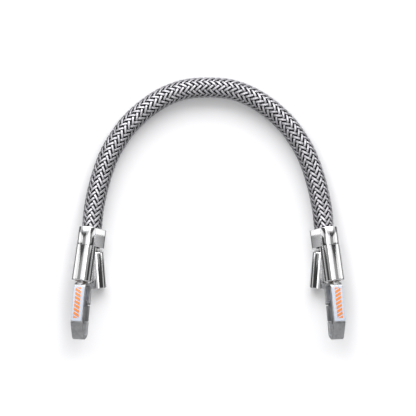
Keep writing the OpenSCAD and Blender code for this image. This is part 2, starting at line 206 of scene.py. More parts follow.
# The studio is bright behind the lead, dim before it, and dark to both sides at mid height.
sky = Graph(world.node_tree)
backdrop = world.node_tree.nodes["Background"]
sky_x, sky_y, sky_z = sky.split(sky.add("ShaderNodeTexCoord")["Generated"])
behind = ((sky_y - 0.32) * 5.0).clip(0, 1).ease() * ((sky_z - 0.1) * 3.0).clip(0.1, 1)
before = ((-0.3 - sky_y) * 5.0).clip(0, 1).ease()
from_top = sky_x.math("ABSOLUTE").math("ARCTAN2", sky_z) * (2 / math.pi)
top_glow = (1 - ((from_top - 0.12) * 10.0).clip(0, 1)) * 0.5
horizon_glow = (1 - ((from_top - 1.03).math("ABSOLUTE") * 6.0).clip(0, 1)) * 0.75
ground_glow = ((from_top - 1.42) * 8.0).clip(0, 1) * 0.7
side_light = top_glow + horizon_glow + ground_glow + 0.045
level = (behind * 3.6 + before * 0.5 + (1 - behind - before) * side_light)
sky.tree.links.new(sky.blend(level / 4, (0, 0, 0, 1), (4.0, 4.0, 4.06, 1)).socket,
                   backdrop.inputs["Color"])

table_paint, g, coords, shader = new_finish("table_paint")
paint_mottle = g.noise(coords, 9.0)
wire_up(g, shader, Base_Color=g.blend(paint_mottle, (0.9, 0.9, 0.905, 1), (0.93, 0.93, 0.93, 1)),
        Roughness=0.7 + 0.1 * paint_mottle)
table_mesh.materials.append(table_paint)


# ---- The woven sleeve ---------------------------------------------------------------------
# A tubular braid of bright tinned wire, twelve carriers each way, two over and two under. Each
# carrier lays three wires side by side, and the collars press the ends of the sleeve oval.
sleeve_r = 10.75 * MM
seam = Vector((122.9, 37, 19)) * MM
roll, lean, rise = math.radians(48), math.radians(6.5), math.radians(5)
collar_h = 19.5 * MM
cable_stop = 9.35 * MM
hole_x = 1.45 * MM
end_turn = (Matrix.Rotation(lean, 4, "Z") @ Matrix.Rotation(-rise, 4, "X")
            @ Matrix.Rotation(-roll, 4, "Y"))
right_end = Matrix.Translation(seam) @ end_turn

half_route = [(0, 206, 10.8), (24, 204, 10.8), (46, 196, 10.9), (66, 183, 11), (83, 167, 11.3),
              (96, 149, 11.8), (105, 132, 12.5), (112, 112, 13.5), (117, 92, 14.8), (120, 75, 16.2)]
half_route = [Vector(p) * MM for p in half_route]
half_route += [right_end @ Vector((hole_x, collar_h + 3 * MM, 0)),
               right_end @ Vector((hole_x, cable_stop, 0))]
route = [Vector((-p.x, p.y, p.z)) for p in reversed(half_route[1:])] + half_route


def smooth_line(points, steps):
    """A Catmull-Rom curve through the points."""
    line, last = [], len(points) - 1
    for i in range(last):
        a, b = points[max(i - 1, 0)], points[i]
        c, d = points[i + 1], points[min(i + 2, last)]
        for k in range(steps):
            f = k / steps
            line.append(b + 0.5 * f * ((c - a) + f * ((2 * a - 5 * b + 4 * c - d)
                                                      + f * (3 * b - a - 3 * c + d))))
    return line + [points[last]]


cable_line = smooth_line(route, 16)
cable_length = sum((b - a).length for a, b in zip(cable_line, cable_line[1:]))
press_top = (right_end @ Vector((hole_x, collar_h, 0))).y
press_run = 30 * MM
press_long, press_short = 1.06, 0.874
press_axis = end_turn @ Vector((1, 0, 0))
plait_depth = 0.6 * MM
wire_bundle = (2.25 * MM, 1.0 * MM)


def route_object(name, line):
    """A curve object along the line, to feed a node tree."""
    data = bpy.data.curves.new(name, "CURVE")
    data.dimensions = "3D"
    spline = data.splines.new("POLY")
    spline.points.add(len(line) - 1)
    for point, place in zip(spline.points, line):
        point.co = (*place, 1)
    made = bpy.data.objects.new(name, data)
    bpy.context.scene.collection.objects.link(made)
    return made


def plait_tree():
    """The wires that one hand of carriers lays along a route."""
    tree = bpy.data.node_groups.new("plait", "GeometryNodeTree")
    named = [("Route", "NodeSocketGeometry"), ("Hand", "NodeSocketFloat"),
             ("Carriers", "NodeSocketInt"), ("Turns", "NodeSocketFloat"),
             ("Points", "NodeSocketInt"), ("Radius", "NodeSocketFloat"),
             ("Plait depth", "NodeSocketFloat"), ("Bundle width", "NodeSocketFloat"),
             ("Bundle height", "NodeSocketFloat"), ("Wire", "NodeSocketMaterial")]
    for name, kind in named:
        tree.interface.new_socket(name, in_out="INPUT", socket_type=kind)
    tree.interface.new_socket("Geometry", in_out="OUTPUT", socket_type="NodeSocketGeometry")
    g = Graph(tree)
    given = g.add("NodeGroupInput")
    hand, carriers, count = given["Hand"], given["Carriers"], given["Points"]

    index = g.add("GeometryNodeInputIndex")["Index"]
    carrier = (index / count).floor()
    step = index - carrier * count
    along = step / (count - 1)
    sample = g.add("GeometryNodeSampleCurve", {"mode": "FACTOR", "use_all_curves": True},
                   {"Curves": given["Route"], "Factor": along})
    middle, tangent = sample["Position"], sample["Tangent"]
    across = g.vector("NORMALIZE", g.vector("CROSS_PRODUCT", (0, 0, 1), tangent))
    above = g.vector("CROSS_PRODUCT", tangent, across)

    angle = hand * math.tau * given["Turns"] * along + math.tau * carrier / carriers
    lift = ((6 * (angle - math.radians(7.5))).cos() * 1.5 * hand).clip(-1, 1)
    radius = given["Radius"] + given["Plait depth"] * lift
    spoke = g.vector("ADD", g.vector("SCALE", across, radius * angle.cos()),
                     g.vector("SCALE", above, radius * angle.sin()))

    x, y, z = g.split(middle)
    pressed = (1 - (y - press_top) / press_run).clip(0, 1).ease()
    side = x.math("SIGN")
    axis = g.join(side * press_axis.x, press_axis.y, press_axis.z)
    stretch = g.vector("DOT_PRODUCT", spoke, axis) * (press_long - press_short)
    oval = g.vector("ADD", g.vector("SCALE", spoke, g.number(press_short)),
                    g.vector("SCALE", axis, stretch))
    spoke = g.vector("ADD", g.vector("SCALE", spoke, 1 - pressed),
                     g.vector("SCALE", oval, pressed))

    points = g.add("GeometryNodePoints", None, {"Count": carriers * count,
                                                "Position": g.vector("ADD", middle, spoke)})
    outward = g.add("GeometryNodeStoreNamedAttribute", {"data_type": "FLOAT_VECTOR"},
                    {"Geometry": points["Points"], "Name": "outward", "Value": spoke})
    tagged = g.add("GeometryNodeStoreNamedAttribute", {"data_type": "FLOAT"},
                   {"Geometry": outward["Geometry"], "Name": "carrier", "Value": carrier / carriers})
    tagged = g.add("GeometryNodeStoreNamedAttribute", {"data_type": "FLOAT"},
                   {"Geometry": tagged["Geometry"], "Name": "crown", "Value": lift * 0.5 + 0.5})
    lines = g.add("GeometryNodePointsToCurves", None,
                  {"Points": tagged["Geometry"], "Curve Group ID": carrier, "Weight": step})
    facing = g.add("GeometryNodeInputNamedAttribute", {"data_type": "FLOAT_VECTOR"},
                   {"Name": "outward"})
    lines = g.add("GeometryNodeSetCurveNormal", {"mode": "FREE"},
                  {"Curve": lines["Curves"], "Normal": facing["Attribute"]})

    # The bundle's outline: three crowns side by side over a flat back.
    crowns, outline_points = 7, 11
    dot = g.add("GeometryNodeInputIndex")["Index"]
    on_top = dot < crowns - 0.5
    top_x = dot / (crowns - 1) * 2 - 1
    top_y = 0.35 + 0.65 * (dot % 2) - 0.35 * ((dot < 0.5) + (dot > crowns - 1.5))
    low_x = 0.75 - (dot - crowns) * 0.5
    out_x = on_top * top_x + (1 - on_top) * low_x
    out_y = on_top * top_y - (1 - on_top) * 0.8
    outline = g.add("GeometryNodeCurvePrimitiveCircle", None, {"Resolution": outline_points})
    outline = g.add("GeometryNodeSetPosition", None,
                    {"Geometry": outline["Curve"],
                     "Position": g.join(out_y * given["Bundle height"] * 0.5,
                                        out_x * given["Bundle width"] * -0.5, 0.0)})
    outline = g.add("GeometryNodeStoreNamedAttribute", {"data_type": "FLOAT"},
                    {"Geometry": outline["Geometry"], "Name": "flank",
                     "Value": out_x.math("ABSOLUTE")})
    wires = g.add("GeometryNodeCurveToMesh", None,
                  {"Curve": lines["Curve"], "Profile Curve": outline["Geometry"], "Fill Caps": True})
    solid = g.add("GeometryNodeRealizeInstances", None, {"Geometry": wires["Mesh"]})
    dressed = g.add("GeometryNodeSetMaterial", None,
                    {"Geometry": solid["Geometry"], "Material": given["Wire"]})
    g.add("NodeGroupOutput", None, {"Geometry": dressed["Geometry"]})
    return tree


def grow(name, source, tree, **values):
    """Runs a node tree on an object and keeps the result as a plain mesh."""
    modifier = source.modifiers.new("tree", "NODES")
    modifier.node_group = tree
    sockets = {s.name: s.identifier for s in tree.interface.items_tree if s.in_out == "INPUT"}
    for key, value in values.items():
        modifier[sockets[key.replace("_", " ")]] = value
    bpy.context.view_layer.update()
    ready = source.evaluated_get(bpy.context.evaluated_depsgraph_get())
    mesh = bpy.data.meshes.new_from_object(ready)
    source.modifiers.remove(modifier)
    return add_piece(name, mesh)


def add_piece(name, mesh):
    mesh.name = name
    piece = bpy.data.objects.new(name, mesh)
    bpy.context.scene.collection.objects.link(piece)
    return piece


# The crowns are painted bright, and the wires are painted dark where they dive under and at their sides: painted shade
# for the shadow between and under the wires.
woven_wire, g, coords, shader = new_finish("woven_wire", metallic=0.9)
carrier_tag = g.add("ShaderNodeAttribute", {"attribute_name": "carrier"})["Fac"]
crown = g.add("ShaderNodeAttribute", {"attribute_name": "crown"})["Fac"]
flank = g.add("ShaderNodeAttribute", {"attribute_name": "flank"})["Fac"]
carrier_shade = (carrier_tag * 91.7).sin() * 0.5 + 0.5
tarnish = g.noise(coords, 60.0, 4.0)
wire_grain = g.noise(coords, 2600.0, 2.0)
bright_wire = g.blend(carrier_shade, (0.50, 0.495, 0.515, 1), (0.64, 0.63, 0.655, 1))
worn = g.blend((tarnish * 2.2 - 0.9).clip(0, 1) * 0.3, bright_wire, (0.46, 0.455, 0.475, 1))
# Painted shade: this mask keeps the raised crowns bright and takes the dives and the wire sides towards the near-black
# colour below.
painted_shading = ((crown - 0.22) * 2.4).clip(0, 1).ease() * (1 - ((flank - 0.8) * 3).clip(0, 1) * 0.5)
wire_up(g, shader, Base_Color=g.blend(painted_shading, (0.035, 0.035, 0.04, 1), worn),
        Roughness=0.40 + 0.16 * tarnish + 0.06 * wire_grain,
        Normal=g.bump(wire_grain, 0.00005, 0.5))

sleeve_route = route_object("sleeve_route", cable_line)
plait = plait_tree()
carriers_each_way = 12
lay_pitch = 74 * MM
plait_turns = cable_length / lay_pitch
plait_points = round(plait_turns * 6 * 12)
hands = {}
for name, hand in (("sleeve_right_lay", 1.0), ("sleeve_left_lay", -1.0)):
    hands[name] = grow(name, sleeve_route, plait, Hand=hand, Carriers=carriers_each_way,
                       Turns=plait_turns, Points=plait_points,
                       Radius=sleeve_r - plait_depth - wire_bundle[1] * 0.5 - 0.1 * MM,
                       Plait_depth=plait_depth, Bundle_width=wire_bundle[0],
                       Bundle_height=wire_bundle[1], Wire=woven_wire)
    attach(hands[name], "frame")
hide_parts("braid_sleeve")


# ---- The cable under the sleeve -----------------------------------------------------------
# A black rubber-jacketed flexible cable with three insulated cores. Only its jacket shows, in
# the gaps of the weave. Jacket and cores are pressed oval with the sleeve inside the collars.
jacket_r, jacket_bore_r = 7.9 * MM, 5.7 * MM


def pressed_ring(line, i, radius, sides):
    """The points round one ring of the cable, as the collars press it."""
    tangent = (line[min(i + 1, len(line) - 1)] - line[max(i - 1, 0)]).normalized()
    across = Vector((0, 0, 1)).cross(tangent).normalized()
    above = tangent.cross(across)
    f = min(1, max(0, 1 - (line[i].y - press_top) / press_run))
    f = f * f * (3 - 2 * f)
    axis = Vector((math.copysign(press_axis.x, line[i].x), press_axis.y, press_axis.z))
    ring = []
    for k in range(sides):
        turn = math.tau * k / sides
        spoke = radius * (math.cos(turn) * across + math.sin(turn) * above)
        oval = press_short * spoke + (press_long - press_short) * spoke.dot(axis) * axis
        ring.append(line[i] + (1 - f) * spoke + f * oval)
    return ring


def swept_wall(name, line, radius, bore, sides=32):
    """A tube with a wall, swept along the line."""
    rings = [pressed_ring(line, i, radius, sides) for i in range(len(line))]
    rings += [pressed_ring(line, i, bore, sides) for i in reversed(range(len(line)))]
    points = [p for ring in rings for p in ring]
    faces = [(i * sides + k, i * sides + (k + 1) % sides,
              (i + 1) % len(rings) * sides + (k + 1) % sides, (i + 1) % len(rings) * sides + k)
             for i in range(len(rings)) for k in range(sides)]
    mesh = bpy.data.meshes.new(name)
    mesh.from_pydata(points, [], faces)
    return face_outwards(mesh)


def face_outwards(mesh):
    bm = bmesh.new()
    bm.from_mesh(mesh)
    bmesh.ops.remove_doubles(bm, verts=bm.verts, dist=1e-7)
    bmesh.ops.recalc_face_normals(bm, faces=bm.faces)
    bm.to_mesh(mesh)
    bm.free()
    return mesh


def smooth_but_sharp(mesh, degrees=25):
    mesh.polygons.foreach_set("use_smooth", [True] * len(mesh.polygons))
    mesh.set_sharp_from_angle(angle=math.radians(degrees))
    return mesh


jacket_rubber, g, coords, shader = new_finish("jacket_rubber")
rubber_speck = g.noise(coords, 900.0, 3.0)
wire_up(g, shader, Base_Color=g.blend(rubber_speck, (0.012, 0.012, 0.014, 1), (0.03, 0.03, 0.033, 1)),
        Roughness=0.55 + 0.2 * rubber_speck, Normal=g.bump(rubber_speck, 0.0001, 0.4))
jacket = add_piece("jacket_tube", smooth_but_sharp(
    swept_wall("jacket_tube", cable_line[::3] + [cable_line[-1]], jacket_r, jacket_bore_r)))
jacket.data.materials.append(jacket_rubber)
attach(jacket, "frame")
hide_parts("cable_jacket")


def dress(node, material):
    """Gives a CAD node its finish."""
    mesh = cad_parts[node].data
    mesh.materials.clear()
    mesh.materials.append(material)


for core, dark, light in (("line", (0.30, 0.02, 0.015, 1), (0.42, 0.04, 0.03, 1)),
                          ("neutral", (0.62, 0.61, 0.56, 1), (0.74, 0.73, 0.68, 1)),
                          ("earth", (0.03, 0.22, 0.07, 1), (0.05, 0.32, 0.11, 1))):
    insulation, g, coords, shader = new_finish(f"{core}_insulation")
    streak = g.noise(coords, 300.0)
    wire_up(g, shader, Base_Color=g.blend(streak, dark, light), Roughness=0.38 + 0.12 * streak,
            Normal=g.bump(streak, 0.00005, 0.3))
    dress(f"conductor_{core}", insulation)

bpy.data.objects.remove(sleeve_route)


# ---- The collars --------------------------------------------------------------------------
# An oval cup of nickel-plated brass at each end of the sleeve: round on the main barrel's side
# and flatter on the side barrel's side. Two small screws under it hold it on the Y body.
main_x, side_x = 6.05 * MM, -6.05 * MM
collar_circles = [(5.75 * MM, 0, 10.6 * MM), (-8.65 * MM, 5.2 * MM, 4.5 * MM),
                  (-8.65 * MM, -5.2 * MM, 4.5 * MM)]
collar_bore = [(-0.75 * MM, 0, 9.5 * MM), (3.65 * MM, 0, 9.5 * MM)]
up_stem = Matrix.Rotation(math.radians(-90), 4, "X")


def wrap_outline(circles, step=5):
    """The outline of a band pulled tight round circles, given anticlockwise."""
    outline, count = [], len(circles)
    lean_angles = []
    for i, (x, y, r) in enumerate(circles):
        nx, ny, nr = circles[(i + 1) % count]
        away = math.hypot(nx - x, ny - y)
        lean_angles.append(math.atan2(ny - y, nx - x) - math.acos((r - nr) / away))
    for i, (x, y, r) in enumerate(circles):
        start, end = lean_angles[i - 1], lean_angles[i]
        sweep = (end - start) % math.tau
        parts = max(2, round(math.degrees(sweep) / step))
        outline += [(x + r * math.cos(start + sweep * k / parts),
                     y + r * math.sin(start + sweep * k / parts)) for k in range(parts + 1)]
    return outline


def prism(outline, low, high, soften=0.0, limit=50, segments=3):
    """An outline drawn out along Z, with its sharp edges softened."""
    bm = bmesh.new()
    base = bm.faces.new([bm.verts.new((x, y, low)) for x, y in outline])
    drawn = bmesh.ops.extrude_face_region(bm, geom=[base])
    tops = [v for v in drawn["geom"] if isinstance(v, bmesh.types.BMVert)]
    bmesh.ops.translate(bm, verts=tops, vec=(0, 0, high - low))
    bmesh.ops.remove_doubles(bm, verts=bm.verts, dist=1e-6)
    bmesh.ops.recalc_face_normals(bm, faces=bm.faces)
    if soften:
        sharp = [e for e in bm.edges if e.calc_face_angle(0) > math.radians(limit)]
        bmesh.ops.bevel(bm, geom=sharp, offset=soften, segments=segments, profile=0.5,
                        affect="EDGES", clamp_overlap=True)
    mesh = bpy.data.meshes.new("prism")
    bm.to_mesh(mesh)
    bm.free()
    return mesh


def lathe(profile, segments=96):
    """A closed profile of (radius, height) points turned about Z; radius 0 is the axis."""
    points, rows = [], []
    for r, z in profile:
        if r < 1e-7:
            rows.append([len(points)] * segments)
            points.append((0, 0, z))
        else:
            rows.append([len(points) + k for k in range(segments)])
            points += [(r * math.cos(math.tau * k / segments), r * math.sin(math.tau * k / segments),
                        z) for k in range(segments)]
    faces = []
    for row, after in zip(rows, rows[1:] + rows[:1]):
        for k in range(segments):
            loop = [row[k], row[(k + 1) % segments], after[(k + 1) % segments], after[k]]
            loop = [v for i, v in enumerate(loop) if v != loop[i - 1]]
            if len(loop) > 2:
                faces.append(loop)
    mesh = bpy.data.meshes.new("lathe")
    mesh.from_pydata(points, [], faces)
    return face_outwards(mesh)


def cut_or_join(first, second, operation):
    """Two closed meshes made one, by union, difference or intersection."""
    whole, tool = add_piece("whole", first), add_piece("tool", second)
    modifier = whole.modifiers.new("cut", "BOOLEAN")
    modifier.operation, modifier.solver, modifier.object = operation, "EXACT", tool
    bpy.context.view_layer.update()
    ready = whole.evaluated_get(bpy.context.evaluated_depsgraph_get())
    mesh = bpy.data.meshes.new_from_object(ready)
    for piece in (whole, tool):
        bpy.data.objects.remove(piece)
    return mesh


def turned_mesh(mesh, matrix):
    mesh.transform(matrix)
    return mesh


def at_both_ends(kind, mesh, body, materials, stands_for, faces_from=None):
    """Places a piece of the right-hand end's frame at both ends, the left one mirrored."""
    made = {}
    for side in ("right", "left"):
        own = mesh.copy()
        own.transform(right_end)
        if side == "left":
            own.transform(Matrix.Scale(-1, 4, (1, 0, 0)))
            own.flip_normals()
        own.materials.clear()
        for material in materials:
            own.materials.append(material)
        if faces_from:
            own.polygons.foreach_set("material_index", faces_from)
        made[side] = add_piece(f"{side}_{kind}", smooth_but_sharp(own))
        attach(made[side], body.format(side=side))
        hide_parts(stands_for.format(side=side))
    return made


polished_plate, g, coords, shader = new_finish("polished_plate", metallic=1.0)
polish_cloud = g.noise(coords, 35.0, 3.0)
hairline_map = g.add("ShaderNodeMapping", None, {"Vector": coords, "Scale": (2600, 90, 2600)})
hairlines = g.noise(hairline_map["Vector"], 1.0, 2.0)
wire_up(g, shader,
        Base_Color=g.blend(polish_cloud, (0.80, 0.80, 0.81, 1), (0.88, 0.88, 0.88, 1)),
        Roughness=0.07 + 0.07 * polish_cloud + 0.05 * (hairlines - 0.55).clip(0, 1),
        Normal=g.bump(hairlines, 0.00001, 0.25))

collar_mesh = prism(wrap_outline(collar_circles), 0.05 * MM, collar_h, soften=0.7 * MM)
collar_hole = prism(wrap_outline(collar_bore), -MM, collar_h + MM)
collar_mesh = turned_mesh(cut_or_join(collar_mesh, collar_hole, "DIFFERENCE"), up_stem)
brushed_plate, g, coords, shader = new_finish("brushed_plate", metallic=1.0)
facet_map = g.add("ShaderNodeMapping", None, {"Vector": coords, "Scale": (1500, 60, 1500)})
facet_lines = g.noise(facet_map["Vector"], 1.0, 3.0)
facet_cloud = g.noise(coords, 120.0, 3.0)
wire_up(g, shader, Base_Color=g.blend(facet_lines, (0.66, 0.66, 0.665, 1), (0.82, 0.82, 0.82, 1)),
        Roughness=0.34 + 0.12 * facet_cloud, Normal=g.bump(facet_lines, 0.00002, 0.4))
flat_facet = [int(face.normal.x < -0.97) for face in collar_mesh.polygons]
at_both_ends("polished_collar", collar_mesh, "frame",
             [polished_plate, brushed_plate], "{side}_collar", faces_from=flat_facet)


# ---- The two-barrel Y bodies --------------------------------------------------------------
# One nickel-plated brass body per end. The main barrel carries the hook's swivel, and the
# side barrel is the connector shell, open at its mouth, with a rounded shoulder.
main_splay, side_splay = math.radians(1.3), math.radians(16.4)
main_r, main_len, main_bore_r, main_bore_depth = 10.7 * MM, 37.5 * MM, 7 * MM, 24 * MM
side_r, side_len, side_top = 9.1 * MM, 42.5 * MM, 2.7 * MM
socket_r, socket_depth = 7.5 * MM, 10 * MM
insert_r, insert_len = 6.5 * MM, 16 * MM
fit = 0.05 * MM
down_main = (Matrix.Translation((main_x, 0, 0)) @ Matrix.Rotation(main_splay, 4, "Z")
             @ Matrix.Rotation(math.radians(90), 4, "X"))
down_side = (Matrix.Translation((side_x, 0, 0)) @ Matrix.Rotation(-side_splay, 4, "Z")
             @ Matrix.Rotation(math.radians(90), 4, "X"))


def corner(r, z, round_r, start, parts=6):
    """A quarter-round of a turned profile, its centre at (r, z), from an angle in degrees."""
    return [(r + round_r * math.cos(math.radians(start + 90 * k / parts)),
             z + round_r * math.sin(math.radians(start + 90 * k / parts)))
            for k in range(parts + 1)]


edge_r, lip_r, shoulder_r = 1.2 * MM, 0.4 * MM, 3 * MM
main_barrel = lathe([(0, -3 * MM), (main_r, -3 * MM)]
                    + corner(main_r - edge_r, main_len - edge_r, edge_r, 0)
                    + corner(main_bore_r + lip_r, main_len - lip_r, lip_r, 90)
                    + [(main_bore_r, main_len - main_bore_depth), (0, main_len - main_bore_depth)])
side_barrel = lathe([(0, side_top)]
                    + corner(side_r - shoulder_r, side_top + shoulder_r, shoulder_r, -90)
                    + corner(side_r - edge_r, side_len - edge_r, edge_r, 0)
                    + corner(socket_r + lip_r, side_len - lip_r, lip_r, 90)
                    + [(socket_r, side_len - socket_depth), (insert_r + fit, side_len - socket_depth),
                       (insert_r + fit, side_len - socket_depth - insert_len - MM),
                       (0, side_len - socket_depth - insert_len - MM)])
block = bpy.data.meshes.new("block")
block_bm = bmesh.new()
bmesh.ops.create_cube(block_bm, size=0.2, matrix=Matrix.Translation((0, -0.1, 0)))
block_bm.to_mesh(block)
block_bm.free()
y_mesh = cut_or_join(turned_mesh(main_barrel, down_main), block, "INTERSECT")
y_mesh = cut_or_join(y_mesh, turned_mesh(side_barrel, down_side), "UNION")
at_both_ends("polished_y_body", y_mesh, "frame", [polished_plate],
             "{side}_y_body")


# ---- Grommets and screws ------------------------------------------------------------------
# A rubber grommet closes the Y body's top round the cable, inside each collar. Two small black
# screws with hexagon sockets sit under each collar, and one holds each insert.
grommet_rubber, g, coords, shader = new_finish("grommet_rubber")
grommet_bloom = g.noise(coords, 420.0, 4.0)
wire_up(g, shader, Base_Color=g.blend(grommet_bloom, (0.02, 0.02, 0.02, 1), (0.05, 0.05, 0.048, 1)),
        Roughness=0.6 + 0.2 * grommet_bloom, Normal=g.bump(grommet_bloom, 0.0001, 0.5))
black_oxide, g, coords, shader = new_finish("black_oxide", metallic=0.85)
oxide_wear = g.noise(coords, 700.0, 3.0)
wire_up(g, shader,
        Base_Color=g.blend((oxide_wear * 4 - 2.2).clip(0, 1), (0.04, 0.04, 0.043, 1), (0.2, 0.19, 0.18, 1)),
        Roughness=0.32 + 0.25 * oxide_wear, Normal=g.bump(oxide_wear, 0.00004, 0.4))
for side in ("left", "right"):
    dress(f"{side}_cable_grommet", grommet_rubber)
    dress(f"{side}_collar_screws", black_oxide)
    dress(f"{side}_insert_screw", black_oxide)


# ---- Swivel parts -------------------------------------------------------------------------
# In each main barrel the hook's shank turns in an oiled bronze bush, under a steel thrust
# washer, and a split ring in the shank's groove keeps it there.
bronze, g, coords, shader = new_finish("bronze", metallic=0.9)
bronze_pores = g.noise(coords, 1500.0, 2.0)
bronze_oil = g.noise(coords, 150.0)
wire_up(g, shader, Base_Color=g.blend(bronze_oil, (0.42, 0.25, 0.12, 1), (0.6, 0.4, 0.22, 1)),
        Roughness=0.3 + 0.3 * bronze_oil, Normal=g.bump(bronze_pores, 0.00005, 0.6))
turned_steel, g, coords, shader = new_finish("turned_steel", metallic=1.0)
turning = g.noise(coords, 1800.0, 2.0)
turned_smears = g.noise(coords, 200.0)
wire_up(g, shader, Base_Color=g.blend(turned_smears, (0.56, 0.56, 0.57, 1), (0.72, 0.72, 0.73, 1)),
        Roughness=0.2 + 0.2 * turned_smears, Normal=g.bump(turning, 0.00003, 0.5))
for side in ("left", "right"):
    dress(f"{side}_swivel_bush", bronze)
    dress(f"{side}_thrust_washer", turned_steel)
    dress(f"{side}_retaining_ring", black_oxide)


# ---- The hooks ----------------------------------------------------------------------------
# Each hook is a loop bent from flat satin strip, on a turned shank. The outer leg is long,
# slants in below its bend, and rounds into the nose. The short inner leg ends in two ears.
loop_x, band_t, band_w = 7.6 * MM, 2.8 * MM, 13 * MM
loop_len, tip_len, gate_top, gate_len = 61 * MM, 17.5 * MM, 20.5 * MM, 19.7 * MM
hook_gap, bend_turn, shank_r = 1 * MM, math.radians(28), 4 * MM
ear_r, ear_w, pin_r = 2.3 * MM, 2.7 * MM, 1.2 * MM
knuckle_w = band_w - 2 * ear_w - 0.2 * MM
ring_at, ring_thick, groove_r = 22.6 * MM, MM, 3.2 * MM
hook_turn, loop_lean = math.radians(22), math.radians(3)
at_hook = (Matrix.Translation((main_x, 0, 0)) @ Matrix.Rotation(main_splay, 4, "Z")
           @ Matrix.Translation((0, -main_len, 0)) @ Matrix.Rotation(-hook_turn, 4, "Y"))
at_loop = (at_hook @ Matrix.Translation((-3.6 * MM, 0, 0.5 * MM))
           @ Matrix.Rotation(-loop_lean, 4, "X"))


def bent_line(path, parts=10):
    """The middle line of a bent strip, from corners given as (x, y, bend radius)."""
    line = [Vector(path[0][:2])]
    for before, here, after in zip(path, path[1:], path[2:]):
        c = Vector(here[:2])
        ua, ub = (Vector(before[:2]) - c).normalized(), (Vector(after[:2]) - c).normalized()
        half = ua.angle(ub) / 2
        centre = c + (ua + ub).normalized() * here[2] / math.sin(half)
        start, end = (c + u * here[2] / math.tan(half) - centre for u in (ua, ub))
        turn = math.pi - 2 * half
        line += [centre + (start * math.sin((1 - k / parts) * turn) + end * math.sin(k / parts * turn))
                 / math.sin(turn) for k in range(parts + 1)]
    return line + [Vector(path[-1][:2])]


def strip_outline(line, thick):
    sides = [[], []]
    for i, p in enumerate(line):
        along = (line[min(i + 1, len(line) - 1)] - line[max(i - 1, 0)]).normalized()
        across = Vector((-along.y, along.x)) * thick / 2
        sides[0].append(p - across)
        sides[1].append(p + across)
    return [tuple(p) for p in sides[0] + sides[1][::-1]]


def box_mesh(low, high, soften=0.0):
    outline = [(low[0], low[1]), (high[0], low[1]), (high[0], high[1]), (low[0], high[1])]
    return prism(outline, low[2], high[2], soften)


def drum(r, low, high, x=0.0, y=0.0, soften=0.0, segments=48):
    """A cylinder along Z."""
    outline = [(x + r * math.cos(math.tau * k / segments), y + r * math.sin(math.tau * k / segments))
               for k in range(segments)]
    return prism(outline, low, high, soften, segments=2)


bend_y = tip_len - loop_len
tip_drop = tip_len - band_t / 2
tip_x = loop_x - tip_drop * math.tan(bend_turn)
nose_top = -(gate_top + gate_len + 0.4 * MM)
top_y = -hook_gap - band_t / 2
hook_path = [(-loop_x, -gate_top - 0.2 * MM, 0), (-loop_x, top_y, 4 * MM), (loop_x, top_y, 4 * MM),
             (loop_x, bend_y, 3 * MM), (tip_x, bend_y - tip_drop, 3 * MM),
             (-loop_x, bend_y - tip_drop + 4 * MM, 5 * MM), (-loop_x, nose_top, 0)]
hook_mesh = prism(strip_outline(bent_line(hook_path), band_t), -band_w / 2, band_w / 2,
                  soften=0.55 * MM, limit=60)
for ear_side in (-1, 1):
    ear_z = ear_side * (band_w - ear_w) / 2
    hook_mesh = cut_or_join(hook_mesh, drum(ear_r, ear_z - ear_w / 2, ear_z + ear_w / 2, -loop_x, -gate_top,
                                            soften=0.3 * MM), "UNION")
hook_mesh = cut_or_join(hook_mesh, box_mesh(
    (-loop_x - band_t / 2 - 1.5 * MM, -gate_top - MM - ear_r - 1.3 * MM, -knuckle_w / 2 - 0.1 * MM),
    (-loop_x + band_t / 2 + 1.5 * MM, -gate_top - MM + ear_r + 1.3 * MM, knuckle_w / 2 + 0.1 * MM)),
    "DIFFERENCE")
hook_mesh = cut_or_join(hook_mesh, drum(pin_r + 0.025 * MM, -band_w, band_w, -loop_x, -gate_top),
                        "DIFFERENCE")
shank_top = main_len - ring_at + 1.5 * MM
groove = main_len - ring_at
shank = lathe([(0, -hook_gap - band_t - MM)]
              + corner(shank_r + 0.4 * MM, -hook_gap - band_t - 0.4 * MM, 0.6 * MM, -90)
              + corner(shank_r + 0.4 * MM, -hook_gap - 0.6 * MM, 0.6 * MM, 0)
              + [(shank_r, -hook_gap), (shank_r, groove - ring_thick - fit), (groove_r, groove - ring_thick - fit),
                 (groove_r, groove + fit), (shank_r, groove + fit), (shank_r, shank_top - 0.5 * MM),
                 (shank_r - 0.5 * MM, shank_top), (0, shank_top)])
hook_mesh = cut_or_join(turned_mesh(hook_mesh, at_loop), turned_mesh(shank, at_hook @ up_stem), "UNION")

satin_steel, g, coords, shader = new_finish("satin_steel", metallic=1.0)
satin_map = g.add("ShaderNodeMapping", None, {"Vector": coords, "Scale": (900, 60, 900)})
satin_grain = g.noise(satin_map["Vector"], 1.0, 4.0)
handling = g.noise(coords, 230.0, 5.0, 0.65)
pits = (g.noise(coords, 1300.0, 2.0) * 5 - 2.9).clip(0, 1)
wire_up(g, shader,
        Base_Color=g.blend((handling * 2 - 0.5).clip(0, 1), (0.40, 0.405, 0.415, 1), (0.66, 0.665, 0.675, 1)),
        Roughness=0.24 + 0.2 * handling + 0.08 * satin_grain,
        Normal=g.bump(satin_grain * 0.5 + pits, 0.00004, 0.5))
at_both_ends("satin_hook", hook_mesh, "{side}_hook_body", [satin_steel], "{side}_hook")


